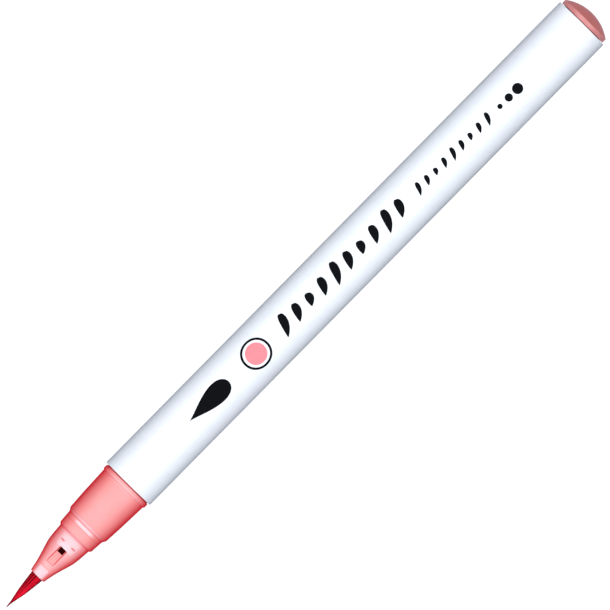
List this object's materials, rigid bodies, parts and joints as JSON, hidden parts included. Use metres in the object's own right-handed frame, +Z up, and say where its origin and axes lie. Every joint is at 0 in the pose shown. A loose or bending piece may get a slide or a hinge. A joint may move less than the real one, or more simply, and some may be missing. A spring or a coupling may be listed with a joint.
{
  "type": "brush pen",
  "caption": "Brush pen without its cap: white round barrel with an ink reservoir inside, a tinted see-through nose with a vent window, a soft pointed brush and a domed tail plug.",
  "frame": {"origin": "on the surface that the pen lies on, under the middle of its whole length", "axes": "+X along the pen, towards the brush's tip; +Z up, through the vent window in the nose; the pen's axis lies 5.1 mm above the origin"},
  "size_m": [0.1396, 0.0102, 0.0102],
  "materials": {
    "white_plastic": "smooth white moulded plastic, soft gloss",
    "tinted_plastic": "pink tinted see-through moulded plastic, gloss",
    "rose_plastic": "solid rose moulded plastic, soft gloss",
    "wet_filaments": "fine nylon filaments, wet with crimson ink",
    "fused_nylon": "melted nylon, stained with ink",
    "clear_pink_plastic": "clear moulded plastic, stained pink",
    "inked_fibre": "bonded polyester fibre, full of ink",
    "wrapping_film": "thin clear film"
  },
  "bodies": {
    "pen": {"barrel": "white_plastic", "front_section": "tinted_plastic", "tail_plug": "rose_plastic", "brush_shank": "wet_filaments", "brush_root": "fused_nylon", "brush_collar": "clear_pink_plastic", "relay_rod": "inked_fibre", "relay_holder": "clear_pink_plastic", "reservoir_core": "inked_fibre", "reservoir_film": "wrapping_film"},
    "hair_1": {"brush_zone_1": "wet_filaments"},
    "hair_2": {"brush_zone_2": "wet_filaments"},
    "hair_3": {"brush_zone_3": "wet_filaments"},
    "hair_4": {"brush_zone_4": "wet_filaments"}
  },
  "joints": [
    {"name": "bend_up_base", "type": "hinge", "parent": "pen", "child": "hair_1", "pos_m": [0.0624, 0, 0.0051], "axis": [0, 1, 0], "range_deg": [-25, 25], "stiffness_Nm_per_rad": 0.0004},
    {"name": "bend_side_base", "type": "hinge", "parent": "hair_1", "child": "hair_2", "pos_m": [0.0642, 0, 0.0051], "axis": [0, 0, 1], "range_deg": [-25, 25], "stiffness_Nm_per_rad": 0.0004},
    {"name": "bend_up_tip", "type": "hinge", "parent": "hair_2", "child": "hair_3", "pos_m": [0.0657, 0, 0.0051], "axis": [0, 1, 0], "range_deg": [-30, 30], "stiffness_Nm_per_rad": 0.0004},
    {"name": "bend_side_tip", "type": "hinge", "parent": "hair_3", "child": "hair_4", "pos_m": [0.0671, 0, 0.0051], "axis": [0, 0, 1], "range_deg": [-30, 30], "stiffness_Nm_per_rad": 0.0004}
  ]
}
